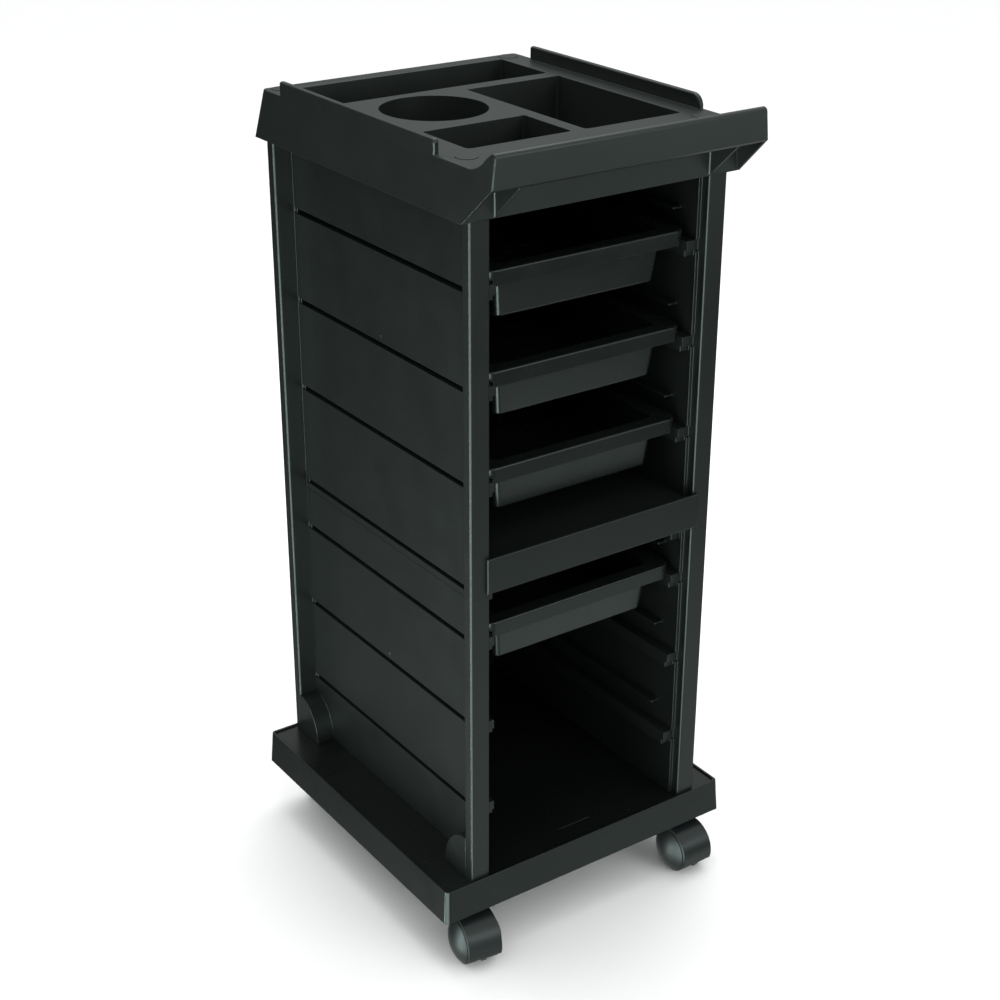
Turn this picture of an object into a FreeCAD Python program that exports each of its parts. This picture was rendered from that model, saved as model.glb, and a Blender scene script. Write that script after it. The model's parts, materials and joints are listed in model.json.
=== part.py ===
import FreeCAD, Part
import math
import os

from FreeCAD import Vector

# Rolling salon trolley, millimetres, +Z up, +X to the right seen from the front, front faces -Y.
# The body is drawn about its own centre line and set back at export, so that the origin lies on
# the floor below the middle of the whole trolley, handle lip included.

X_AXIS = Vector(1, 0, 0)
Y_AXIS = Vector(0, 1, 0)
Z_AXIS = Vector(0, 0, 1)

# Heights
BASE_BOTTOM = 61.5
DECK_TOP = 97.0
BASE_RIM_TOP = 99.0
POST_SEAM = 421.6
PANEL_SEAM = 402.5
PANEL_TOP = 789.0
POST_TOP = 798.0
TRAY_BOTTOM = 792.5
TRAY_TOP = 842.0
TOOL_LIP_TOP = 855.8
HANDLE_TOP = 861.0
HANDLE_BOTTOM = 831.0

# Plan sizes, as half widths in X and as front and back in Y
BASE_HALF_X = 182.5
BASE_HALF_Y = 187.0
BASE_FLARE = 2.5
DECK_GROOVE = 0.8
POST_OUT = 147.0
POST_IN = 125.0
POST_FRONT = -181.0
POST_BACK = 183.0
POST_DEPTH = 13.0
PANEL_OUT = 126.0
PANEL_IN = 122.5
LINER_IN = 121.5
LINER_DEPTH = 2.6
LEDGE_IN = 111.5
RAIL_IN = 110.0
RAIL_FRONT = 168.0
TRAY_HALF_BOTTOM = 158.4
TRAY_HALF_TOP = 153.0
TRAY_WALL_FRONT = -185.0
TRAY_BACK_BOTTOM = 188.0
TRAY_BACK_TOP = 175.0
HANDLE_FRONT = -226.0
GUSSET_X = 121.6
GUSSET_HALF = 1.25
COVE_R = 2.0
SET_BACK = -(HANDLE_FRONT + TRAY_BACK_BOTTOM) / 2

WALL = 2.5
PLATE = 3.0
GAP = 0.2

# Slots seen from outside: each is the open side of a hollow ledge that a drawer runs on
SLOT_HEIGHT = 5.3
LEDGE_ABOVE_SLOT = 11.0
LEDGE_BELOW_SLOT = 4.6
GUIDE_ABOVE_SLOT = 36.0
UPPER_LEVELS = [715.5, 618.5, 521.5]
SHELF_LEVEL = 412.5
LOWER_LEVELS = [357.0, 262.0, 165.5]
DRAWER_LEVELS = [715.5, 618.5, 521.5, 357.0]

# Drawers
RIM_ABOVE_LEDGE = 10.0
FLANGE_HEIGHT = 15.5
DRAWER_DEPTH = 53.0
DRAWER_HALF_RIM = 118.0
DRAWER_FRONT = -162.0
DRAWER_BACK = 158.0

# Casters: place of the swivel axis, and the turn of each caster about it in degrees
WHEEL_R = 25.0
TRAIL = 18.0
CASTER_X = 139.0
CASTER_Y = 160.0
CASTERS = {
    "front_left": (-CASTER_X, -CASTER_Y, -9.0),
    "front_right": (CASTER_X, -CASTER_Y, 0.0),
    "rear_left": (-CASTER_X, CASTER_Y, 84.0),
    "rear_right": (CASTER_X, CASTER_Y, 22.0),
}
AXLE_R = 3.0
STEM_R = 5.5
SWIVEL_PIN_R = 4.0
RUNNING = 0.05
TREAD_IN = 6.5
TREAD_OUT = 18.5
DOME_OUT = 27.0

# Fasteners
SCREW_R = 1.75
SCREW_HEAD_R = 3.5
SCREW_HEAD_H = 2.4
SCREW_HOLE_R = 2.1
TRAY_SCREW_PLACES = [(133.0, -157.0), (137.0, 163.5)]
LUG_HEIGHT = 5.0
TRAY_SCREW_LENGTH = 10.0
LUG_OUT = 143.0
BASE_SCREW_PLACES = [(136.5, -154.0), (136.5, 156.0)]
SHELF_SCREW_X = 117.6
SHELF_SCREW_Y = [-120.0, 120.0]
BACK_SCREW_HEIGHTS = {"lower": [150.0, 390.0], "upper": [452.0, 760.0]}
BACK_SCREW_X = 114.0


# ---------------------------------------------------------------- helpers

def box(x0, x1, y0, y1, z0, z1):
    return Part.makeBox(x1 - x0, y1 - y0, z1 - z0, Vector(x0, y0, z0))


def cylinder(radius, length, start, direction=Z_AXIS):
    return Part.makeCylinder(radius, length, start, direction)


def rounded_rect(x0, x1, y0, y1, z, r):
    """A closed rectangle wire at height z with corners of radius r."""
    k = r * (1 - math.sqrt(0.5))
    corners = [
        ((x1 - r, y0), (x1 - k, y0 + k), (x1, y0 + r)),
        ((x1, y1 - r), (x1 - k, y1 - k), (x1 - r, y1)),
        ((x0 + r, y1), (x0 + k, y1 - k), (x0, y1 - r)),
        ((x0, y0 + r), (x0 + k, y0 + k), (x0 + r, y0)),
    ]
    edges = []
    for i, corner in enumerate(corners):
        a, b, c = [Vector(p[0], p[1], z) for p in corner]
        edges.append(Part.Arc(a, b, c).toShape())
        after = corners[(i + 1) % 4][0]
        edges.append(Part.makeLine(c, Vector(after[0], after[1], z)))
    return Part.Wire(edges)


def rounded_block(x0, x1, y0, y1, z0, z1, r):
    face = Part.Face(rounded_rect(x0, x1, y0, y1, z0, r))
    return face.extrude(Vector(0, 0, z1 - z0))


def tapered_block(low, high, z0, z1, r0, r1):
    """low and high are (x0, x1, y0, y1) at the heights z0 and z1."""
    wires = [rounded_rect(*low, z0, r0), rounded_rect(*high, z1, r1)]
    return Part.makeLoft(wires, True, True)


def profile_yz(edges, x0, x1):
    """A closed outline in the YZ plane, given as edges at x = 0, made solid from x0 to x1."""
    face = Part.Face(Part.Wire(edges))
    face.translate(Vector(x0, 0, 0))
    return face.extrude(Vector(x1 - x0, 0, 0))


def yz(y, z):
    return Vector(0, y, z)


def lines_yz(points):
    return [Part.makeLine(yz(*a), yz(*b)) for a, b in zip(points, points[1:])]


def fuse(shapes):
    return shapes[0].multiFuse(shapes[1:]).removeSplitter()


def mirrored(shape):
    return shape.mirror(Vector(0, 0, 0), X_AXIS)


def both_sides(shapes):
    return list(shapes) + [mirrored(s) for s in shapes]


def rounded(shape, radius, chosen):
    """The shape with every edge for which chosen(edge's box) is true rounded."""
    edges = [e for e in shape.Edges if chosen(e.BoundBox)]
    return shape.makeFillet(radius, edges)


def at_height(b, z):
    return abs(b.ZMin - z) < 1e-4 and abs(b.ZMax - z) < 1e-4


def screw(length):
    """A pan-head screw pointing along -Z, its head's seat at the origin, with a cross recess."""
    head = cylinder(SCREW_HEAD_R, SCREW_HEAD_H, Vector(0, 0, 0))
    head = rounded(head, 1.0, lambda b: at_height(b, SCREW_HEAD_H))
    shank = cylinder(SCREW_R - RUNNING, length, Vector(0, 0, -length))
    arm = box(-2.2, 2.2, -0.5, 0.5, SCREW_HEAD_H - 1.2, SCREW_HEAD_H)
    cross = arm.fuse(box(-0.5, 0.5, -2.2, 2.2, SCREW_HEAD_H - 1.2, SCREW_HEAD_H))
    return head.fuse(shank).cut(cross)


def save(name, shape):
    placed = shape.copy()
    placed.translate(Vector(0, SET_BACK, 0))
    if not placed.isValid():
        print("not valid:", name)
    placed.exportStep(os.path.join("parts", name + ".step"))
    print(f"{name}: {len(placed.Solids)} solid, {placed.Volume / 1000:.1f} cm3")


# ---------------------------------------------------------------- base

def base_deck():
    """An upside-down tray: skirt, recessed deck with a thin rim, caster bosses and ribs below."""
    top_x = BASE_HALF_X - BASE_FLARE
    top_y = BASE_HALF_Y - BASE_FLARE
    low = (-BASE_HALF_X, BASE_HALF_X, -BASE_HALF_Y, BASE_HALF_Y)
    high = (-top_x, top_x, -top_y, top_y)
    shell = tapered_block(low, high, BASE_BOTTOM, BASE_RIM_TOP, 6, 5)
    shell = rounded(shell, 0.8, lambda b: at_height(b, BASE_RIM_TOP))

    inner_low = (-BASE_HALF_X + PLATE, BASE_HALF_X - PLATE, -BASE_HALF_Y + PLATE, BASE_HALF_Y - PLATE)
    inner_high = (-top_x + PLATE, top_x - PLATE, -top_y + PLATE, top_y - PLATE)
    underside = DECK_TOP - PLATE
    hollow = tapered_block(inner_low, inner_high, BASE_BOTTOM, underside, 3.5, 3)
    recess = rounded_block(*inner_high, DECK_TOP, BASE_RIM_TOP + 1, 3)
    shell = shell.cut(hollow).cut(recess)

    rib_low = underside - 6.0
    ribs = []
    for x in (-70.0, 0.0, 70.0):
        ribs.append(box(x - 1.1, x + 1.1, -182, 182, rib_low, underside + 0.5))
    for y in (-110.0, 0.0, 110.0):
        ribs.append(box(-178, 178, y - 1.1, y + 1.1, rib_low, underside + 0.5))
    bosses = []
    sockets = []
    for x, y, turn in CASTERS.values():
        bosses.append(cylinder(15, underside - BASE_BOTTOM, Vector(x, y, BASE_BOTTOM + 0.5)))
        sockets.append(cylinder(STEM_R + RUNNING, 29, Vector(x, y, BASE_BOTTOM)))
        ribs.append(box(min(x, math.copysign(180, x)), max(x, math.copysign(180, x)),
                        y - 1.1, y + 1.1, rib_low, underside + 0.5))
    spigots = []
    for x0 in (-POST_OUT, POST_IN):
        for y0 in (POST_FRONT, POST_BACK - POST_DEPTH):
            spigots.append(post_plug(x0, y0, DECK_TOP - 0.5, DECK_TOP + 16))
    deck = fuse([shell] + ribs + bosses + spigots)

    holes = [cylinder(SCREW_HOLE_R, 12, Vector(sx * x, y, underside - 6))
             for x, y in BASE_SCREW_PLACES for sx in (-1, 1)]
    seats = [cylinder(SCREW_HEAD_R + 1.2, 22, Vector(sx * x, y, underside - 22))
             for x, y in BASE_SCREW_PLACES for sx in (-1, 1)]
    slot = rounded_block(-20.5, 22.5, -161, -157, DECK_TOP - DECK_GROOVE, DECK_TOP + 1, 1.9)
    notch = box(POST_IN - GAP, POST_OUT + GAP, top_y - PLATE - 1, POST_BACK + GAP, DECK_TOP, BASE_RIM_TOP + 1)
    for tool in sockets + holes + seats + both_sides([notch]) + [slot]:
        deck = deck.cut(tool)
    return deck


def post_plug(x0, y0, z0, z1):
    """A block that fits into the hollow of the post whose low corner is at x0, y0."""
    w = POST_OUT - POST_IN
    return box(x0 + WALL + GAP, x0 + w - WALL - GAP, y0 + WALL + GAP, y0 + POST_DEPTH - WALL - GAP, z0, z1)


# ---------------------------------------------------------------- side frames

def ledge(level, with_tab):
    """A hollow ledge on the left panel, its slot open to the outside."""
    top = level + LEDGE_ABOVE_SLOT
    low = level - LEDGE_BELOW_SLOT
    bar = box(-PANEL_IN - 0.5, -LEDGE_IN, POST_FRONT + 15, POST_BACK - 15, low, top)
    if not with_tab:
        return bar
    tab = box(-PANEL_IN - 0.5, -LEDGE_IN, POST_FRONT + 12, POST_FRONT + 16, level + 1, top)
    return bar.fuse(tab)


def ledge_hollow(level):
    """What is cut out of a ledge: the slot through the panel and the space behind it."""
    y0 = POST_FRONT + 17.5
    y1 = POST_BACK - 17.5
    half = SLOT_HEIGHT / 2
    groove = box(-PANEL_OUT - 1, -PANEL_OUT + 1.2, POST_FRONT + POST_DEPTH, POST_BACK - POST_DEPTH,
                 level - half, level + half)
    slot = box(-PANEL_OUT - 1, -PANEL_IN + 1, y0, y1, level - half, level + half)
    space = box(-PANEL_IN, -LEDGE_IN - WALL, y0, y1, level - half, level + LEDGE_ABOVE_SLOT - WALL)
    return fuse([groove, slot, space])


def guide_rib(level):
    z = level + GUIDE_ABOVE_SLOT
    return box(-PANEL_IN - 0.5, -LEDGE_IN - 2, -144, 165, z, z + 2.4)


def post(y0, z0, z1):
    """A hollow post on the left side, with the thin liner strip on its inner edge."""
    outer = rounded_block(-POST_OUT, -POST_IN, y0, y0 + POST_DEPTH, z0, z1, 2.2)
    s0 = y0 + POST_DEPTH - LINER_DEPTH if y0 < 0 else y0
    strip = box(-POST_IN - 0.5, -LINER_IN, s0, s0 + LINER_DEPTH, z0, z1)
    return outer.fuse(strip)


def post_hollow(y0, z0, z1):
    return box(-POST_OUT + WALL, -POST_IN - WALL, y0 + WALL, y0 + POST_DEPTH - WALL, z0, z1)


def back_rail(z0, z1):
    """A grooved rail inside the back post, which holds the edge of the back panel."""
    rail = box(-PANEL_IN - 0.5, -RAIL_IN, RAIL_FRONT, 178, z0, z1)
    groove = box(-119.5, -RAIL_IN + 1, 171.3, 174.7, z0 - 1, z1 + 1)
    return rail.cut(groove)


def foot_gusset(y_root, way):
    """A hollow quarter-ellipse foot on the left side, reaching from a post along the deck."""
    def quarter(ry, rz, x0, x1):
        ellipse = Part.Ellipse(yz(y_root, DECK_TOP + rz), yz(y_root + way * ry, DECK_TOP),
                               yz(y_root, DECK_TOP))
        arc = Part.Arc(ellipse, 0.0, math.pi / 2).toShape()
        start, end = arc.firstVertex().Point, arc.lastVertex().Point
        corner = yz(y_root, DECK_TOP)
        face = Part.Face(Part.Wire([arc, Part.makeLine(end, corner), Part.makeLine(corner, start)]))
        face.translate(Vector(x0, 0, 0))
        return face.extrude(Vector(x1 - x0, 0, 0))

    outer = quarter(37, 47, -POST_OUT, -PANEL_OUT + 0.5)
    inner = quarter(37 - WALL, 47 - WALL, -POST_OUT + WALL, -PANEL_OUT)
    shell = outer.cut(inner)
    root_plate = box(-POST_OUT, -PANEL_OUT, min(y_root, y_root - way), max(y_root, y_root - way),
                     DECK_TOP, DECK_TOP + 47)
    return shell.fuse(root_plate)


def side_frame_lower():
    """Left lower side: two hollow posts, the recessed panel, three ledges and two feet."""
    y0 = POST_FRONT
    y1 = POST_BACK - POST_DEPTH
    panel = box(-PANEL_OUT, -PANEL_IN, y0 + POST_DEPTH - 1, y1 + 1, DECK_TOP, PANEL_SEAM)
    solids = [panel, post(y0, DECK_TOP, POST_SEAM), post(y1, DECK_TOP, POST_SEAM)]
    solids.append(foot_gusset(y0 + POST_DEPTH, 1))
    solids.append(foot_gusset(y1, -1))
    solids.append(back_rail(DECK_TOP, POST_SEAM))
    for x, y in BASE_SCREW_PLACES:
        solids.append(cylinder(5, 24, Vector(-x, y, DECK_TOP)))
        solids.append(box(-x, -PANEL_OUT + 0.5, y - 1.2, y + 1.2, DECK_TOP, DECK_TOP + 24))
    for level in LOWER_LEVELS:
        solids += [ledge(level, True), guide_rib(level)]
    frame = fuse(solids)
    tools = [post_hollow(y0, DECK_TOP - 1, POST_SEAM + 1), post_hollow(y1, DECK_TOP - 1, POST_SEAM + 1)]
    tools += [ledge_hollow(level) for level in LOWER_LEVELS]
    tools += [liner_gap(level) for level in LOWER_LEVELS]
    tools += [cylinder(SCREW_R, 20, Vector(-x, y, DECK_TOP - 1)) for x, y in BASE_SCREW_PLACES]
    tools += back_screw_holes("lower")
    return cut_all(frame, tools)


def side_frame_upper():
    """Left upper side: posts with tenons below, panel, ledges and the lugs that carry the tray."""
    y0 = POST_FRONT
    y1 = POST_BACK - POST_DEPTH
    z0 = POST_SEAM + GAP
    panel_low = PANEL_SEAM + GAP
    lower_panel = box(-PANEL_OUT, -PANEL_IN, y0 + POST_DEPTH + GAP, RAIL_FRONT - GAP, panel_low, z0 + 1)
    panel = box(-PANEL_OUT, -PANEL_IN, y0 + POST_DEPTH - 1, y1 + 1, z0, PANEL_TOP)
    solids = [panel, lower_panel, post(y0, z0, POST_TOP), post(y1, z0, POST_TOP)]
    solids.append(back_rail(z0, PANEL_TOP))
    solids.append(ledge(SHELF_LEVEL, False))
    for level in UPPER_LEVELS:
        solids += [ledge(level, True), guide_rib(level)]
    lug_low = PANEL_TOP - LUG_HEIGHT
    solids.append(box(-LUG_OUT, -PANEL_IN - 0.5, y0 + POST_DEPTH - 0.5, -149.5, lug_low, PANEL_TOP))
    solids.append(box(-LUG_OUT, -PANEL_IN - 0.5, 156.5, y1 + 0.5, lug_low, PANEL_TOP))
    frame = fuse(solids)
    tools = [post_hollow(y0, z0 + 3, POST_TOP + 1), post_hollow(y1, z0 + 3, POST_TOP + 1)]
    tools += [ledge_hollow(level) for level in UPPER_LEVELS + [SHELF_LEVEL]]
    tools += [liner_gap(level) for level in UPPER_LEVELS]
    tools += [cylinder(SCREW_R, LUG_HEIGHT + 2, Vector(-x, y, lug_low - 1)) for x, y in TRAY_SCREW_PLACES]
    tools += back_screw_holes("upper")
    for y in SHELF_SCREW_Y:
        tools.append(cylinder(SCREW_HOLE_R, 6, Vector(-SHELF_SCREW_X, y, SHELF_LEVEL + 6)))
        tools.append(cylinder(SCREW_HEAD_R + 0.8, 6, Vector(-SHELF_SCREW_X, y, SHELF_LEVEL - 6)))
    frame = cut_all(frame, tools)
    tenons = [post_plug(-POST_OUT, y, z0 - 22, z0 + 1) for y in (y0, y1)]
    return fuse([frame] + tenons)


def liner_gap(level):
    """The liner strip on the front post stops at each ledge."""
    return box(-POST_IN, -LINER_IN + 1, POST_FRONT, POST_FRONT + 12, level, level + LEDGE_ABOVE_SLOT + 1)


def back_screw_holes(module):
    return [cylinder(SCREW_HOLE_R, 16, Vector(-BACK_SCREW_X, 166, z), Y_AXIS)
            for z in BACK_SCREW_HEIGHTS[module]]


def cut_all(shape, tools):
    for tool in tools:
        shape = shape.cut(tool)
    return shape


# ---------------------------------------------------------------- back panels

def back_panel(module):
    """A thin sheet in the grooves of both back rails, with a raised field towards the back."""
    low, high = (DECK_TOP + GAP, POST_SEAM) if module == "lower" else (POST_SEAM + GAP, PANEL_TOP - 1)
    sheet = box(-119.3, 119.3, 171.5, 174.5, low, high)
    field = rounded_block(-98, 98, low + 22, high - 22, 0, 1.6, 8)
    field.rotate(Vector(0, 0, 0), X_AXIS, 90)
    field.translate(Vector(0, 176.0, 0))
    sheet = sheet.fuse(field)
    holes = []
    for z in BACK_SCREW_HEIGHTS[module]:
        for x in (-BACK_SCREW_X, BACK_SCREW_X):
            holes.append(cylinder(SCREW_HOLE_R, 8, Vector(x, 170, z), Y_AXIS))
    return cut_all(sheet, holes).removeSplitter()


# ---------------------------------------------------------------- middle shelf

def mid_shelf():
    """An open-bottomed shelf on its ledges, with a fascia that laps over both front posts."""
    bottom = SHELF_LEVEL + LEDGE_ABOVE_SLOT
    floor = 458.0
    half = 120.8
    block = box(-half, half, -181.2, 167.5, bottom, floor)
    hollow = box(-half + WALL, half - WALL, -178, 165, bottom - 1, floor - PLATE)
    fascia = box(-130, 130, -184.7, -181.2, 425.6, 462.5)
    fascia = rounded(fascia, 1.4, lambda b: b.YMax < -184.0 and b.YMin < -184.0)
    ribs = [box(x - 1, x + 1, -179, 166, bottom + 8, floor - 1) for x in (-45, 45)]
    bosses = [cylinder(3.2, floor - bottom - 1, Vector(sx * SHELF_SCREW_X, y, bottom))
              for y in SHELF_SCREW_Y for sx in (-1, 1)]
    shelf = fuse([block.cut(hollow), fascia] + ribs + bosses)
    pilots = [cylinder(SCREW_R, 18, Vector(sx * SHELF_SCREW_X, y, bottom - 1))
              for y in SHELF_SCREW_Y for sx in (-1, 1)]
    return cut_all(shelf, pilots)


# ---------------------------------------------------------------- top tray

def handle_outline(drop, front_in):
    """The handle's top line, from the tray rim forward and up in an S, then over its round top.

    drop lowers the S and front_in brings the front face back, for the inside of the shell."""
    front = HANDLE_FRONT + front_in
    top = HANDLE_TOP - drop
    rim = TRAY_TOP - drop
    s_start = yz(-190, rim)
    s_middle = yz(-208, rim + 8.2)
    s_end = yz(front + 5, top)
    round_end = yz(front, top - 4)
    edges = [Part.Arc(s_start, yz(-200, rim + 2.9), s_middle).toShape(),
             Part.Arc(s_middle, yz(-214.5, rim + 14.6), s_end).toShape(),
             Part.Arc(s_end, yz(front + 1.4, top - 1.0), round_end).toShape()]
    return edges, s_start, round_end


def tray_envelope(shrink):
    """The drafted outside of the tray, or its inside when shrink is above zero."""
    z_high = HANDLE_TOP + 4
    rise = (z_high - TRAY_BOTTOM) / (TRAY_TOP - TRAY_BOTTOM)
    half_high = TRAY_HALF_BOTTOM + (TRAY_HALF_TOP - TRAY_HALF_BOTTOM) * rise
    back_high = TRAY_BACK_BOTTOM + (TRAY_BACK_TOP - TRAY_BACK_BOTTOM) * rise
    low = (-TRAY_HALF_BOTTOM + shrink, TRAY_HALF_BOTTOM - shrink, -260, TRAY_BACK_BOTTOM - shrink)
    high = (-half_high + shrink, half_high - shrink, -260, back_high - shrink)
    r = 5.0 - shrink if shrink < 4 else 1.0
    return tapered_block(low, high, TRAY_BOTTOM, z_high, r, r)


def tray_shell():
    """Skirt, top plate and the hollow handle lip, all one wall thickness."""
    edges, start, end = handle_outline(0, 0)
    back = TRAY_BACK_BOTTOM + 5
    rest = [yz(end.y, end.z), yz(HANDLE_FRONT, HANDLE_BOTTOM), yz(TRAY_WALL_FRONT, TRAY_BOTTOM),
            yz(back, TRAY_BOTTOM), yz(back, TRAY_TOP), start]
    outline = edges + [Part.makeLine(a, b) for a, b in zip(rest, rest[1:])]
    outer = profile_yz(outline, -200, 200).common(tray_envelope(0))
    outer = rounded(outer, 1.6, is_tray_edge)

    inside = tray_envelope(PLATE)
    rear = box(-200, 200, TRAY_WALL_FRONT + PLATE, 220, TRAY_BOTTOM - 1, TRAY_TOP - PLATE)
    rear = rear.common(inside)
    edges, start, end = handle_outline(PLATE, PLATE)
    rest = [end, yz(end.y, TRAY_BOTTOM - 5), yz(TRAY_WALL_FRONT, TRAY_BOTTOM - 5),
            yz(TRAY_WALL_FRONT, TRAY_TOP - PLATE), start]
    outline = edges + [Part.makeLine(a, b) for a, b in zip(rest, rest[1:])]
    front = profile_yz(outline, -200, 200).common(inside)
    webs = [box(GUSSET_X - GUSSET_HALF, GUSSET_X + GUSSET_HALF, -260, 0, TRAY_BOTTOM, HANDLE_TOP)]
    webs += [cove(GUSSET_X + side, side) for side in (-GUSSET_HALF, GUSSET_HALF)]
    below_handle = front.common(profile_yz(gusset_outline(), -200, 200))
    webs = [web.common(below_handle) for web in both_sides(webs)]
    return fuse([outer.cut(rear).cut(front)] + webs)


def cove(x, side):
    """A hollow fillet between the front wall and the face at x, on that face's outer side."""
    wall = TRAY_WALL_FRONT
    out = math.copysign(COVE_R, side)
    block = box(min(x, x + out), max(x, x + out), wall - COVE_R, wall + 0.5, TRAY_BOTTOM, TRAY_TOP)
    return block.cut(cylinder(COVE_R, TRAY_TOP, Vector(x + out, wall - COVE_R, 0)))


def gusset_outline():
    """A triangle under the handle, cut off along the same slant as the ends of the skirt."""
    slope = (HANDLE_BOTTOM - TRAY_BOTTOM) / (TRAY_WALL_FRONT - HANDLE_FRONT)
    inset = PLATE - 0.3
    front = HANDLE_FRONT + inset
    wall = TRAY_WALL_FRONT + 0.5
    low = (wall, TRAY_BOTTOM + 0.5)
    slant_top = (front, HANDLE_BOTTOM - inset * slope + 0.5)
    return lines_yz([low, slant_top, (front, HANDLE_TOP), (wall, HANDLE_TOP), low])


def is_tray_edge(b):
    """The top edges along both sides and the back, and the upright edges of the handle's ends."""
    slim = b.XMax - b.XMin
    top_side = b.ZMin > TRAY_TOP - 0.01 and slim < 4
    top_back = b.ZMin > TRAY_TOP - 1 and b.YMin > 150
    handle_end = b.YMax < HANDLE_FRONT + 6 and slim < 10
    return top_side or top_back or handle_end


POCKETS = {
    "back": (-123.0, 123.0, 75.0, 156.0),
    "right": (12.0, 125.0, -136.0, 58.0),
    "front_left": (-117.0, -3.0, -135.0, -61.0),
}
POCKET_FLOOR = TRAY_TOP - 46.0
POCKET_CORNER = 3.0
CUP_CENTRE = (-57.5, 10.5)
CUP_R = 52.4


def pocket(sides, grow, z0, z1):
    """A pocket's space, or its outside when grow is above zero; it narrows downwards by 2 mm."""
    x0, x1, y0, y1 = sides
    high = (x0 - grow, x1 + grow, y0 - grow, y1 + grow)
    low = (x0 - grow + 2, x1 + grow - 2, y0 - grow + 2, y1 + grow - 2)
    return tapered_block(low, high, z0, z1, POCKET_CORNER + grow, POCKET_CORNER + 0.5 + grow)


def quarter_yz(centre_y, centre_z, r, way):
    """A quarter circle from straight above its centre down to the side that way points to."""
    k = r * math.sqrt(0.5)
    top = yz(centre_y, centre_z + r)
    side = yz(centre_y + way * r, centre_z)
    return Part.Arc(top, yz(centre_y + way * k, centre_z + k), side).toShape()


def tool_lip(front_r):
    """The raised edge along the left side of the tray, its top corners round."""
    y0, y1, back_r = -136.0, 139.0, 3.0
    z0 = TRAY_TOP - 1
    top = TOOL_LIP_TOP
    outline = lines_yz([(y0, top - front_r), (y0, z0), (y1, z0), (y1, top - back_r)])
    outline.append(quarter_yz(y1 - back_r, top - back_r, back_r, 1))
    outline += lines_yz([(y1 - back_r, top), (y0 + front_r, top)])
    outline.append(quarter_yz(y0 + front_r, top - front_r, front_r, -1))
    lip = profile_yz(outline, -TRAY_HALF_TOP - 0.1, -TRAY_HALF_TOP + 5.5)
    return rounded(lip, 1.8, lambda b: b.ZMin > TRAY_TOP and b.XMax - b.XMin < 0.1)


def top_tray():
    solids = [tray_shell()]
    tools = []
    for sides in POCKETS.values():
        solids.append(pocket(sides, WALL, POCKET_FLOOR - WALL, TRAY_TOP - 1))
        tools.append(pocket(sides, 0, POCKET_FLOOR, TRAY_TOP))
    cup_at = Vector(CUP_CENTRE[0], CUP_CENTRE[1], POCKET_FLOOR - WALL)
    solids.append(cylinder(CUP_R + WALL, TRAY_TOP - 1 - cup_at.z, cup_at))
    tools.append(cylinder(CUP_R, TRAY_TOP - POCKET_FLOOR + 1, cup_at + Vector(0, 0, WALL)))
    solids += [tool_lip(4.0), mirrored(tool_lip(12.0))]
    for x, y in TRAY_SCREW_PLACES:
        for sx in (-1, 1):
            solids.append(cylinder(6.2, TRAY_TOP - 1 - PANEL_TOP, Vector(sx * x, y, PANEL_TOP)))
            tools.append(cylinder(SCREW_HOLE_R, 20, Vector(sx * x, y, PANEL_TOP - 5)))
            tools.append(cylinder(SCREW_HEAD_R + 0.5, 60, Vector(sx * x, y, PANEL_TOP + 6)))
            tools.append(cylinder(10.2, 2, Vector(sx * x, y, TRAY_TOP - 0.9)))
    return cut_all(fuse(solids), tools)


# ---------------------------------------------------------------- drawers

def drawer(level):
    """A shallow box hung from a wide rim. The rim's side lips ride on the ledges."""
    lip_low = level + LEDGE_ABOVE_SLOT + GAP
    top = level + LEDGE_ABOVE_SLOT + RIM_ABOVE_LEDGE
    floor = top - DRAWER_DEPTH
    half = DRAWER_HALF_RIM
    rim_box = (-half, half, DRAWER_FRONT, DRAWER_BACK)
    inner = (-half + WALL, half - WALL, DRAWER_FRONT + WALL, DRAWER_BACK - WALL)
    rim = rounded_block(*rim_box, top - FLANGE_HEIGHT, top, 14)
    rim = rounded(rim, 2.0, lambda b: at_height(b, top))
    rim = rim.cut(rounded_block(*inner, top - FLANGE_HEIGHT - 1, top - PLATE, 14 - WALL))
    for sx in (-1, 1):
        side = box(*sorted((sx * 108.3, sx * 130)), DRAWER_FRONT - 5, DRAWER_BACK + 5, floor, lip_low)
        rim = rim.cut(side)

    high = (-99, 99, -149, 145)
    low = (-93, 93, -144, 140)
    outside = tapered_block(low, high, floor, top - 1, 7, 8)
    outside = rounded(outside, 3, lambda b: at_height(b, floor))
    high_in = (-99 + WALL, 99 - WALL, -149 + WALL, 145 - WALL)
    low_in = (-93 + WALL, 93 - WALL, -144 + WALL, 140 - WALL)
    inside = tapered_block(low_in, high_in, floor + WALL, top + 0.5, 5.5, 6.5)
    inside = rounded(inside, 3, lambda b: at_height(b, floor + WALL))
    return fuse([rim, outside]).cut(inside)


# ---------------------------------------------------------------- casters
# Each caster is drawn about its swivel axis with the wheels trailing towards -Y.

AXLE_CENTRE = Vector(0, -TRAIL, WHEEL_R)
HOOD_R = 27.4
HOOD_IN_R = 25.9


def caster_stem():
    """A fixed steel stem: shank in the base socket, collar, and the pin the hood turns on."""
    shank = cylinder(STEM_R, 28, Vector(0, 0, BASE_BOTTOM + 0.4))
    collar = cylinder(9, 3, Vector(0, 0, 58.9))
    pin = cylinder(SWIVEL_PIN_R, 26, Vector(0, 0, 33))
    stem = fuse([shank, collar, pin])
    groove = cylinder(STEM_R + 1, 4, Vector(0, 0, 80)).cut(cylinder(4.8, 4, Vector(0, 0, 80)))
    return stem.cut(groove)


def grip_ring():
    """A split spring ring in the stem's groove, which holds the caster in its socket."""
    ring = cylinder(STEM_R + RUNNING, 3.6, Vector(0, 0, 80.2))
    ring = ring.cut(cylinder(4.85, 4, Vector(0, 0, 80)))
    return ring.cut(box(-0.7, 0.7, 0, 8, 79, 86))


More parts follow.
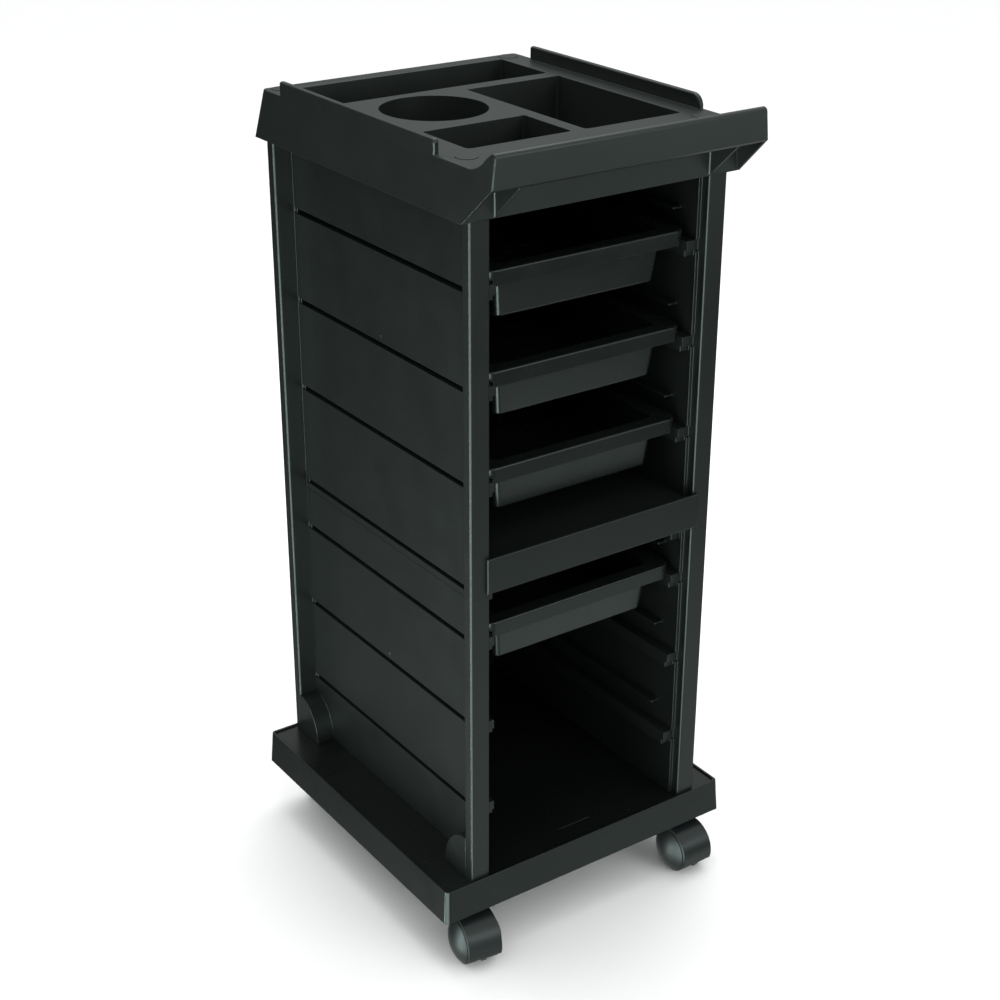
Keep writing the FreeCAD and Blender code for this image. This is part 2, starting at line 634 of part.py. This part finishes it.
def caster_hood():
    """A cover over both treads, a middle web that holds the axle, and the swivel hub."""
    c = AXLE_CENTRE
    cover = cylinder(HOOD_R, 2 * TREAD_OUT, c + Vector(-TREAD_OUT, 0, 0), X_AXIS)
    cover = cover.cut(cylinder(HOOD_IN_R, 60, c + Vector(-30, 0, 0), X_AXIS))
    cover = cover.common(box(-30, 30, c.y - 30, 4.5, 15, 60))
    web = cylinder(HOOD_R - 0.5, 5, c + Vector(-2.5, 0, 0), X_AXIS)
    web = web.common(box(-30, 30, c.y - 30, 12, 9, 60))
    hub = cylinder(TREAD_IN - 0.5, 24, Vector(0, 0, 31))
    cap = cylinder(11, 8, Vector(0, 0, 50.6))
    cap = cap.cut(cylinder(HOOD_IN_R + 0.1, 60, c + Vector(-30, 0, 0), X_AXIS))
    hood = cover.multiFuse([web, hub, cap])
    bore = cylinder(SWIVEL_PIN_R + RUNNING, 30, Vector(0, 0, 32.6))
    axle_hole = cylinder(AXLE_R + RUNNING, 40, c + Vector(-20, 0, 0), X_AXIS)
    return hood.cut(bore).cut(axle_hole)


def caster_axle():
    return cylinder(AXLE_R, 42, AXLE_CENTRE + Vector(-21, 0, 0), X_AXIS)


def caster_wheel(side):
    """One wheel turned about the axle: tread, groove, domed outer face, hollow inner face."""
    rim = Vector(TREAD_OUT, 0, WHEEL_R)
    dome_edge = WHEEL_R - 2.2
    points = [Vector(TREAD_IN, 0, AXLE_R + RUNNING), Vector(TREAD_IN, 0, 8), Vector(11, 0, 8),
              Vector(11, 0, 21), Vector(TREAD_IN, 0, 21), Vector(TREAD_IN, 0, WHEEL_R - 1),
              Vector(TREAD_IN + 1, 0, WHEEL_R), rim - Vector(1.2, 0, 0), rim - Vector(0, 0, 1.2),
              Vector(TREAD_OUT, 0, dome_edge), Vector(TREAD_OUT + 0.8, 0, dome_edge)]
    edges = [Part.makeLine(a, b) for a, b in zip(points, points[1:])]
    rise = DOME_OUT - points[-1].x
    dome_r = (rise ** 2 + dome_edge ** 2) / (2 * rise)
    half_angle = math.asin(dome_edge / dome_r) / 2
    dome_middle = Vector(DOME_OUT - dome_r * (1 - math.cos(half_angle)), 0, dome_r * math.sin(half_angle))
    dome_end = Vector(DOME_OUT, 0, 0)
    edges.append(Part.Arc(points[-1], dome_middle, dome_end).toShape())
    bore_end = 21.4
    tail = [dome_end, Vector(bore_end, 0, 0), Vector(bore_end, 0, AXLE_R + RUNNING), points[0]]
    edges += [Part.makeLine(a, b) for a, b in zip(tail, tail[1:])]
    wheel = Part.Face(Part.Wire(edges)).revolve(Vector(0, 0, 0), X_AXIS, 360)
    wheel.translate(AXLE_CENTRE)
    return wheel if side > 0 else mirrored(wheel)


def place_caster(shape, corner):
    x, y, turn = CASTERS[corner]
    placed = shape.copy()
    placed.rotate(Vector(0, 0, 0), Z_AXIS, turn)
    placed.translate(Vector(x, y, 0))
    return placed


# ---------------------------------------------------------------- fasteners

def placed_screw(length, place, head_points):
    s = screw(length)
    if head_points == "down":
        s.rotate(Vector(0, 0, 0), X_AXIS, 180)
    if head_points == "back":
        s.rotate(Vector(0, 0, 0), X_AXIS, -90)
    s.translate(place)
    return s


def tray_screws():
    places = [Vector(sx * x, y, PANEL_TOP + 6) for x, y in TRAY_SCREW_PLACES for sx in (-1, 1)]
    return [placed_screw(TRAY_SCREW_LENGTH, place, "up") for place in places]


def tray_screw_caps():
    """Flat round caps in the corners of the tray, with a stalk in the screw's well."""
    caps = []
    for x, y in TRAY_SCREW_PLACES:
        for sx in (-1, 1):
            cap = cylinder(10, 1.4, Vector(sx * x, y, TRAY_TOP - 0.9))
            cap = rounded(cap, 0.4, lambda b: at_height(b, TRAY_TOP + 0.5))
            stalk = cylinder(SCREW_HEAD_R + 0.4, 8, Vector(sx * x, y, TRAY_TOP - 8.5))
            caps.append(cap.fuse(stalk).removeSplitter())
    return caps


def base_screws():
    seat = DECK_TOP - PLATE
    return [placed_screw(17, Vector(sx * x, y, seat), "down") for x, y in BASE_SCREW_PLACES for sx in (-1, 1)]


def shelf_screws():
    seat = SHELF_LEVEL + LEDGE_ABOVE_SLOT - WALL
    places = [Vector(sx * SHELF_SCREW_X, y, seat) for y in SHELF_SCREW_Y for sx in (-1, 1)]
    return [placed_screw(14, place, "down") for place in places]


def back_panel_screws():
    heights = BACK_SCREW_HEIGHTS["lower"] + BACK_SCREW_HEIGHTS["upper"]
    return [placed_screw(9.6, Vector(sx * BACK_SCREW_X, 178, z), "back") for z in heights for sx in (-1, 1)]


# ---------------------------------------------------------------- export

def main():
    os.makedirs("parts", exist_ok=True)
    save("base_deck", base_deck())
    for name, make in (("lower", side_frame_lower), ("upper", side_frame_upper)):
        frame = make()
        save(f"side_frame_{name}_left", frame)
        save(f"side_frame_{name}_right", mirrored(frame))
        save(f"back_panel_{name}", back_panel(name))
    save("mid_shelf", mid_shelf())
    save("top_tray", top_tray())
    for number, level in enumerate(DRAWER_LEVELS, start=1):
        save(f"drawer_{number}", drawer(level))
    pieces = {
        "stem": caster_stem(),
        "hood": caster_hood(),
        "axle": caster_axle(),
        "wheel_left": caster_wheel(-1),
        "wheel_right": caster_wheel(1),
    }
    for corner in CASTERS:
        for piece, shape in pieces.items():
            save(f"caster_{corner}_{piece}", place_caster(shape, corner))
    save("caster_grip_rings", Part.makeCompound([place_caster(grip_ring(), c) for c in CASTERS]))
    save("tray_screws", Part.makeCompound(tray_screws()))
    save("tray_screw_caps", Part.makeCompound(tray_screw_caps()))
    save("base_screws", Part.makeCompound(base_screws()))
    save("shelf_screws", Part.makeCompound(shelf_screws()))
    save("back_panel_screws", Part.makeCompound(back_panel_screws()))


main()
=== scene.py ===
import json
import math

import bmesh
import bpy
from mathutils import Euler, Matrix, Vector


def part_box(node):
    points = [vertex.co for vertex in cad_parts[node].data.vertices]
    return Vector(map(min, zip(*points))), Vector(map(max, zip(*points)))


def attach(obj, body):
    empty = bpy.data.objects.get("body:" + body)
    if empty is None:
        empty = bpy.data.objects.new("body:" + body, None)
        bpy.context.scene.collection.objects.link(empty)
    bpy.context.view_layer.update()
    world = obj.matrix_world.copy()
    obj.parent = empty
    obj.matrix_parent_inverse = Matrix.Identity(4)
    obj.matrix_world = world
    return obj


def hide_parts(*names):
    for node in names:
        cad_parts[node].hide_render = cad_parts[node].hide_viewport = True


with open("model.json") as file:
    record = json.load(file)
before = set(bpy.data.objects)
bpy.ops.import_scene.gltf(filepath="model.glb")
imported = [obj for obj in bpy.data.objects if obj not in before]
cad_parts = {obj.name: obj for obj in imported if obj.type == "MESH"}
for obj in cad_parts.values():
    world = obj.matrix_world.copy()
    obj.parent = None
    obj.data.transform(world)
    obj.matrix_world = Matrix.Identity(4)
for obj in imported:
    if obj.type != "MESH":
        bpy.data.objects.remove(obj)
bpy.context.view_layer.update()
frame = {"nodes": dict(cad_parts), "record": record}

NODES = frame["nodes"]
BODY_OF = {n: b for b, ns in frame["record"]["behaviour"]["bodies"].items() for n in ns}
SLOT_OF = {s["node"]: s["material_slot"] for s in frame["record"]["subparts"]}
CORNERS = ("front_left", "front_right", "rear_left", "rear_right")
MM = 0.001


# ---------------------------------------------------------------- camera, floor and light

CAMERA_TARGET = Vector((0.0, 0.0, 0.4264))
CAMERA_DISTANCE = 1.922
CAMERA_AZIMUTH = -35.08
CAMERA_ELEVATION = 25.25
CAMERA_ROLL = 0.186
CAMERA_LENS = 65.86


def make_camera():
    data = bpy.data.cameras.new("camera")
    data.lens = CAMERA_LENS
    data.sensor_width = 36
    data.clip_start = 0.01
    camera = bpy.data.objects.new("camera", data)
    turn = Euler((math.radians(90 - CAMERA_ELEVATION), 0, math.radians(CAMERA_AZIMUTH))).to_matrix()
    turn = turn @ Matrix.Rotation(math.radians(CAMERA_ROLL), 3, "Z")
    place = CAMERA_TARGET + turn @ Vector((0, 0, CAMERA_DISTANCE))
    camera.matrix_world = Matrix.Translation(place) @ turn.to_4x4()
    bpy.context.scene.collection.objects.link(camera)
    bpy.context.scene.camera = camera


CARD_TINT = (0.9, 1.0, 0.98)
WHITE = (1.0, 1.0, 1.0)


def area_light(name, place, size, radiance, target=(0, 0, 0.45), gloss_only=False):
    """A soft box; gloss_only ones are reflector cards, seen in reflections and lighting nothing."""
    data = bpy.data.lights.new(name, "AREA")
    data.shape = "RECTANGLE"
    data.size, data.size_y = size
    data.energy = radiance * math.pi * size[0] * size[1]
    data.color = CARD_TINT if gloss_only else WHITE
    light = bpy.data.objects.new(name, data)
    light.location = place
    aim = Vector(target) - Vector(place)
    light.rotation_euler = aim.to_track_quat("-Z", "Y").to_euler()
    light.visible_camera = False
    light.visible_diffuse = not gloss_only
    bpy.context.scene.collection.objects.link(light)


def make_studio():
    """A world that goes by height: white above, darkest just below the horizon, paler further down."""
    world = bpy.data.worlds.new("studio")
    bpy.context.scene.world = world
    world.use_nodes = True
    tree = world.node_tree
    place = tree.nodes.new("ShaderNodeTexCoord")
    split = tree.nodes.new("ShaderNodeSeparateXYZ")
    ramp = tree.nodes.new("ShaderNodeValToRGB")
    height = tree.nodes.new("ShaderNodeMapRange")
    height.inputs["From Min"].default_value = -1
    tree.links.new(place.outputs["Generated"], split.inputs["Vector"])
    tree.links.new(split.outputs["Z"], height.inputs["Value"])
    tree.links.new(height.outputs["Result"], ramp.inputs["Fac"])
    stops = ramp.color_ramp.elements
    stops[0].position, stops[0].color = 0.20, (0.40, 0.42, 0.40, 1)
    stops[1].position, stops[1].color = 0.84, (1.0, 1.0, 1.0, 1)
    for position, level in ((0.25, 0.13), (0.36, 0.01), (0.5, 0.05), (0.62, 0.22)):
        stops.new(position).color = (0.92 * level, 1.04 * level, level, 1)
    tree.links.new(ramp.outputs["Color"], tree.nodes["Background"].inputs["Color"])
    tree.nodes["Background"].inputs["Strength"].default_value = 1.2


def make_light():
    """Soft boxes overhead and in front, and four cards that draw the light edges."""
    area_light("overhead", (0.3, 0.6, 2.8), (2.2, 1.8), 2.7)
    area_light("front_box", (0.9, -2.6, 1.5), (1.6, 1.2), 3.6)
    area_light("edge_card", (-1.0, -0.85, -0.05), (1.5, 1.5), 10.0, (0, 0, -0.05), gloss_only=True)
    area_light("edge_strip", (-1.3, 0.2, -0.05), (0.16, 1.5), 40.0, (0, 0, -0.05), gloss_only=True)
    area_light("front_low_card", (0.95, -1.35, -0.75), (1.5, 0.9), 0.7, gloss_only=True)
    area_light("front_high_card", (0.85, -1.3, 0.64), (1.5, 0.4), 1.2, (0, 0, 0.64), gloss_only=True)
    bpy.context.scene.view_settings.view_transform = "Standard"


def make_floor():
    mesh = bpy.data.meshes.new("floor")
    half = 14.0
    corners = [(-half, -half, 0), (half, -half, 0), (half, half, 0), (-half, half, 0)]
    mesh.from_pydata(corners, [], [(0, 1, 2, 3)])
    floor = bpy.data.objects.new("floor", mesh)
    floor.visible_glossy = False
    floor.visible_shadow = False
    bpy.context.scene.collection.objects.link(floor)
    material = bpy.data.materials.new("pale_floor")
    material.use_nodes = True
    shader = material.node_tree.nodes["Principled BSDF"]
    shader.inputs["Base Color"].default_value = (1.0, 1.0, 1.0, 1)
    shader.inputs["Roughness"].default_value = 0.8
    shader.inputs["Specular IOR Level"].default_value = 0.1
    mesh.materials.append(material)


# ---------------------------------------------------------------- materials

class Nodes:
    """A small helper that adds nodes to a material and joins them."""

    def __init__(self, name):
        self.material = bpy.data.materials.new(name)
        self.material.use_nodes = True
        self.tree = self.material.node_tree
        self.shader = self.tree.nodes["Principled BSDF"]

    def add(self, kind, **settings):
        node = self.tree.nodes.new(kind)
        for key, value in settings.items():
            if key in node.inputs:
                node.inputs[key].default_value = value
            else:
                setattr(node, key, value)
        return node

    def join(self, out, into):
        self.tree.links.new(out, into)

    def noise(self, scale, detail=3.0, roughness=0.5, stretch=(1, 1, 1)):
        """A noise in the object's own metres; stretch squeezes it along an axis."""
        place = self.add("ShaderNodeTexCoord")
        mapping = self.add("ShaderNodeMapping")
        mapping.inputs["Scale"].default_value = stretch
        self.join(place.outputs["Object"], mapping.inputs["Vector"])
        noise = self.add("ShaderNodeTexNoise", Scale=scale, Detail=detail, Roughness=roughness)
        self.join(mapping.outputs["Vector"], noise.inputs["Vector"])
        return noise.outputs["Fac"]

    def spread(self, value, low, high, bottom=0.3, top=0.7):
        """Maps a value that runs mostly from bottom to top, such as a noise, to low to high."""
        node = self.add("ShaderNodeMapRange")
        node.inputs["From Min"].default_value = bottom
        node.inputs["From Max"].default_value = top
        node.inputs["To Min"].default_value = low
        node.inputs["To Max"].default_value = high
        self.join(value, node.inputs["Value"])
        return node.outputs["Result"]

    def blend(self, factor, dark, light):
        """A colour between dark and light; each is a colour or another node's output."""
        node = self.add("ShaderNodeMix", data_type="RGBA")
        self.join(factor, node.inputs["Factor"])
        for socket, value in ((node.inputs[6], dark), (node.inputs[7], light)):
            if isinstance(value, bpy.types.NodeSocket):
                self.join(value, socket)
            else:
                socket.default_value = (*value, 1)
        return node.outputs[2]

    def bump(self, heights):
        """Chains bumps, each (height output, strength, distance in metres)."""
        last = None
        for height, strength, distance in heights:
            node = self.add("ShaderNodeBump", Strength=strength, Distance=distance)
            self.join(height, node.inputs["Height"])
            if last is not None:
                self.join(last, node.inputs["Normal"])
            last = node.outputs["Normal"]
        self.join(last, self.shader.inputs["Normal"])

    def edge_mask(self, radius):
        """1 on edges, 0 on flats, from how far the bevelled normal leans from the true one."""
        bevel = self.add("ShaderNodeBevel", samples=4)
        bevel.inputs["Radius"].default_value = radius
        geometry = self.add("ShaderNodeNewGeometry")
        dot = self.add("ShaderNodeVectorMath", operation="DOT_PRODUCT")
        self.join(bevel.outputs["Normal"], dot.inputs[0])
        self.join(geometry.outputs["Normal"], dot.inputs[1])
        return self.spread(dot.outputs["Value"], 1.0, 0.0, 0.7, 0.995)


PLASTIC_SHEEN = (0.86, 1.0, 0.96, 1)


def black_plastic(name, tone, roughness, grain=1.0, specular=0.25, edge_highlight_and_wear_level=0.35, cloud=0.12):
    """Moulded black plastic: a spark-eroded grain, faint flow clouds, and every edge, convex and concave,
    painted paler: partly a painted edge highlight, partly rubbed wear.
    """
    n = Nodes(name)
    clouds = n.noise(9, detail=4)
    specks = n.noise(420, detail=2)
    dark = tuple(c * (1 - 0.5 * cloud) for c in tone)
    light = tuple(c * (1 + cloud) for c in tone)
    colour = n.blend(n.spread(clouds, 0, 1), dark, light)
    # Paler colour on all edges, concave corners too: a painted edge highlight, broken up by specks like
    # rubbed wear.
    painted_edge_highlight = tuple(c * 1.9 + 0.006 for c in tone)
    edges = n.edge_mask(1.2 * MM)
    edge_highlight_and_wear = n.add("ShaderNodeMath", operation="MULTIPLY")
    n.join(edges, edge_highlight_and_wear.inputs[0])
    n.join(n.spread(specks, 0.25 * edge_highlight_and_wear_level, edge_highlight_and_wear_level), edge_highlight_and_wear.inputs[1])
    n.join(n.blend(edge_highlight_and_wear.outputs[0], colour, painted_edge_highlight), n.shader.inputs["Base Color"])
    n.join(n.spread(n.noise(26, detail=5), roughness - 0.02, roughness + 0.03), n.shader.inputs["Roughness"])
    n.shader.inputs["Specular IOR Level"].default_value = specular
    n.shader.inputs["Specular Tint"].default_value = PLASTIC_SHEEN
    grain_height = n.noise(1500, detail=2, roughness=0.6)
    orange_peel = n.noise(160, detail=2)
    n.bump([(orange_peel, 0.12 * grain, 0.15 * MM), (grain_height, 0.35 * grain, 0.05 * MM)])
    return n.material


def plated_steel(name, tone, roughness):
    """Zinc-plated steel with fine turned lines and a mottled bloom."""
    n = Nodes(name)
    bloom = n.noise(180, detail=4)
    colour = n.blend(n.spread(bloom, 0, 1), tuple(c * 0.8 for c in tone), tone)
    n.join(colour, n.shader.inputs["Base Color"])
    n.shader.inputs["Metallic"].default_value = 1.0
    n.join(n.spread(n.noise(400, detail=3), roughness - 0.06, roughness + 0.1), n.shader.inputs["Roughness"])
    n.bump([(n.noise(900, detail=1, stretch=(1, 1, 8)), 0.2, 0.04 * MM)])
    return n.material


MATERIALS = {
    "frame_plastic": black_plastic("frame_black", (0.0096, 0.0118, 0.0108), 0.36, specular=0.25),
    "panel_plastic": black_plastic("panel_black", (0.0062, 0.0078, 0.0072), 0.38, specular=0.20),
    "deck_plastic": black_plastic("deck_black", (0.0045, 0.0058, 0.0050), 0.28, grain=0.6, specular=0.25),
    "shelf_plastic": black_plastic("shelf_black", (0.0082, 0.0102, 0.0095), 0.30, grain=0.7, specular=0.25),
    "tray_plastic": black_plastic("tray_black", (0.0118, 0.0142, 0.0132), 0.34, specular=0.32),
    "drawer_plastic": black_plastic("drawer_black", (0.0075, 0.0092, 0.0086), 0.26, grain=0.5, specular=0.3),
    "caster_plastic": black_plastic("caster_black", (0.0120, 0.0140, 0.0142), 0.36, grain=0.5, specular=0.3),
    "wheel_nylon": black_plastic("wheel_black", (0.0135, 0.0152, 0.0158), 0.42, grain=0.5, edge_highlight_and_wear_level=0.5),
    "steel": plated_steel("zinc_steel", (0.62, 0.63, 0.64), 0.3),
    "screw_steel": plated_steel("zinc_screw", (0.58, 0.58, 0.57), 0.32),
}


def give_material(piece, slot_name):
    piece.data.materials.clear()
    piece.data.materials.append(MATERIALS[slot_name])


# ---------------------------------------------------------------- moulded pieces

ROUNDED_FROM = math.radians(38)
SHORTEST_ROUNDED = 1.5 * MM
SLIVER_WIDTH = 0.05 * MM
SAME_PLANE = math.cos(math.radians(0.6))
SMOOTH_LEAN = math.cos(ROUNDED_FROM)
ROUNDING_LEAN = math.cos(math.radians(52))


def sharp_edges(bm):
    """Edges where two faces meet at a sharp angle, without the very short ones."""
    chosen = []
    for e in bm.edges:
        between_two = len(e.link_faces) == 2
        if between_two and e.calc_face_angle(0) > ROUNDED_FROM and e.calc_length() > SHORTEST_ROUNDED:
            chosen.append(e)
    return chosen


def flat_areas(bm):
    """For each face, the area of the whole flat patch that it is part of."""
    areas = {}
    for start in bm.faces:
        if start in areas:
            continue
        patch = {start}
        todo = [start]
        while todo:
            face = todo.pop()
            for other in (f for e in face.edges for f in e.link_faces):
                if other not in patch and face.normal.dot(other.normal) > SAME_PLANE:
                    patch.add(other)
                    todo.append(other)
        total = sum(f.calc_area() for f in patch)
        areas.update((f, total) for f in patch)
    return areas


def beside_sliver(face):
    """The face itself, or for a sliver too thin to have a sure normal the face beside it."""
    longest = max(face.edges, key=lambda e: e.calc_length())
    if 2 * face.calc_area() > SLIVER_WIDTH * longest.calc_length():
        return face
    return next((f for f in longest.link_faces if f is not face), face)


def corner_normals(bm, rounding):
    """A normal for every face corner: flats stay flat, and a rounded edge runs from flat to flat."""
    areas = flat_areas(bm)
    normals = []
    for face in bm.faces:
        flat = face if face in rounding else beside_sliver(face)
        for corner in face.loops:
            around = corner.vert.link_faces
            lead = flat
            if face in rounding:
                flats = [f for f in around if f not in rounding]
                closest = max(flats, key=lambda f: f.normal.dot(face.normal), default=face)
                if closest.normal.dot(face.normal) > ROUNDING_LEAN:
                    lead = closest
            is_rounding = lead in rounding
            limit = ROUNDING_LEAN if is_rounding else SMOOTH_LEAN
            alike = [f for f in around if (f in rounding) == is_rounding]
            near = [f for f in alike if f.normal.dot(lead.normal) > limit]
            normal = sum((f.normal * areas[f] for f in near), Vector())
            normals.append(normal.normalized() if normal.length > 0 else face.normal.copy())
    return normals


def softened(node, width):
    """A copy of a CAD node whose moulded edges are rounded, shown in the node's place."""
    mesh = bpy.data.meshes.new(node + "_shell")
    bm = bmesh.new()
    bm.from_mesh(NODES[node].data)
    bmesh.ops.remove_doubles(bm, verts=bm.verts, dist=2e-6)
    bmesh.ops.dissolve_limit(bm, angle_limit=math.radians(0.6), verts=bm.verts, edges=bm.edges)
    bmesh.ops.connect_verts_concave(bm, faces=bm.faces)
    made = bmesh.ops.bevel(bm, geom=sharp_edges(bm), offset=width, segments=2, profile=0.5,
                           affect="EDGES", clamp_overlap=False, loop_slide=True)
    bmesh.ops.recalc_face_normals(bm, faces=bm.faces)
    normals = corner_normals(bm, set(made["faces"]))
    bm.to_mesh(mesh)
    bm.free()
    piece = bpy.data.objects.new(node + "_shell", mesh)
    bpy.context.scene.collection.objects.link(piece)
    for polygon in mesh.polygons:
        polygon.use_smooth = True
    mesh.normals_split_custom_set(normals)
    give_material(piece, SLOT_OF[node])
    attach(piece, BODY_OF[node])
    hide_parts(node)


EDGE_WIDTHS = {
    "top_tray": 0.5 * MM,
    "base_deck": 0.7 * MM,
    "mid_shelf": 0.6 * MM,
    "side_frame_lower_left": 0.5 * MM,
    "side_frame_lower_right": 0.5 * MM,
    "side_frame_upper_left": 0.5 * MM,
    "side_frame_upper_right": 0.5 * MM,
    "back_panel_lower": 0.4 * MM,
    "back_panel_upper": 0.4 * MM,
    **{f"drawer_{number}": 0.5 * MM for number in range(1, 5)},
    **{f"caster_{corner}_hood": 0.5 * MM for corner in CORNERS},
}


def turned(name, body, slot_name, place, axis, outline):
    """A small round piece turned about axis through place; outline is (radius, height) points."""
    sides = 32
    bm = bmesh.new()
    rings = []
    for radius, height in outline:
        ring = [bm.verts.new((radius * math.cos(t), radius * math.sin(t), height))
                for t in (2 * math.pi * i / sides for i in range(sides))]
        rings.append(ring)
    for low, high in zip(rings, rings[1:]):
        for i in range(sides):
            bm.faces.new((low[i], low[(i + 1) % sides], high[(i + 1) % sides], high[i]))
    bm.faces.new(list(reversed(rings[0])))
    bm.faces.new(rings[-1])
    turn = Vector((0, 0, 1)).rotation_difference(Vector(axis)).to_matrix().to_4x4()
    bm.transform(Matrix.Translation(Vector(place)) @ turn)
    mesh = bpy.data.meshes.new(name)
    bm.to_mesh(mesh)
    bm.free()
    piece = bpy.data.objects.new(name, mesh)
    bpy.context.scene.collection.objects.link(piece)
    for polygon in mesh.polygons:
        polygon.use_smooth = True
    mesh.set_sharp_from_angle(angle=math.radians(40))
    give_material(piece, slot_name)
    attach(piece, body)


def button_outline(radius):
    """A low button with a dished top, its foot sunk a little into the surface it sits on."""
    rise = 0.5 * MM
    sunk = 0.3 * MM
    return [(radius, -sunk), (radius, 0.55 * rise), (0.86 * radius, rise), (0.62 * radius, rise),
            (0.5 * radius, 0.7 * rise), (0.2 * radius, 0.7 * rise)]


PANEL_FROM_INSIDE = 16.0 * MM
GATE_MARK_Y = 24.0 * MM
GATE_MARK_HEIGHT = {"lower": 0.5365, "upper": 0.573}

DECK_ABOVE_SKIRT = 35.5 * MM
DECK_MARK_X = 168.0 * MM
DECK_MARK_FROM_FRONT = 63.0 * MM
DECK_MARK_FROM_BACK = 50.0 * MM


def make_gate_marks():
    """Each side panel has one small gate mark, at a given share of the frame's height."""
    for module, share in GATE_MARK_HEIGHT.items():
        for side, sign in (("left", -1), ("right", 1)):
            node = f"side_frame_{module}_{side}"
            low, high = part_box(node)
            inner_x = high[0] if sign < 0 else low[0]
            panel_x = inner_x + sign * PANEL_FROM_INSIDE
            z = low[2] + share * (high[2] - low[2])
            turned(f"gate_mark_{module}_{side}", BODY_OF[node], SLOT_OF[node],
                   (panel_x, GATE_MARK_Y, z), (sign, 0, 0), button_outline(2.0 * MM))


def make_deck_marks():
    """Four small ejector marks on the deck, outside the side frames."""
    low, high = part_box("base_deck")
    deck_top = low[2] + DECK_ABOVE_SKIRT
    for corner in CORNERS:
        sign = -1 if corner.endswith("left") else 1
        front_y = low[1] + DECK_MARK_FROM_FRONT
        back_y = high[1] - DECK_MARK_FROM_BACK
        y = front_y if corner.startswith("front") else back_y
        turned(f"deck_mark_{corner}", BODY_OF["base_deck"], SLOT_OF["base_deck"],
               (sign * DECK_MARK_X, y, deck_top), (0, 0, 1), button_outline(1.6 * MM))


def make_pieces():
    for node, obj in NODES.items():
        give_material(obj, SLOT_OF[node])
    for node, width in EDGE_WIDTHS.items():
        softened(node, width)
    make_gate_marks()
    make_deck_marks()


make_camera()
make_light()
make_studio()
make_floor()
make_pieces()
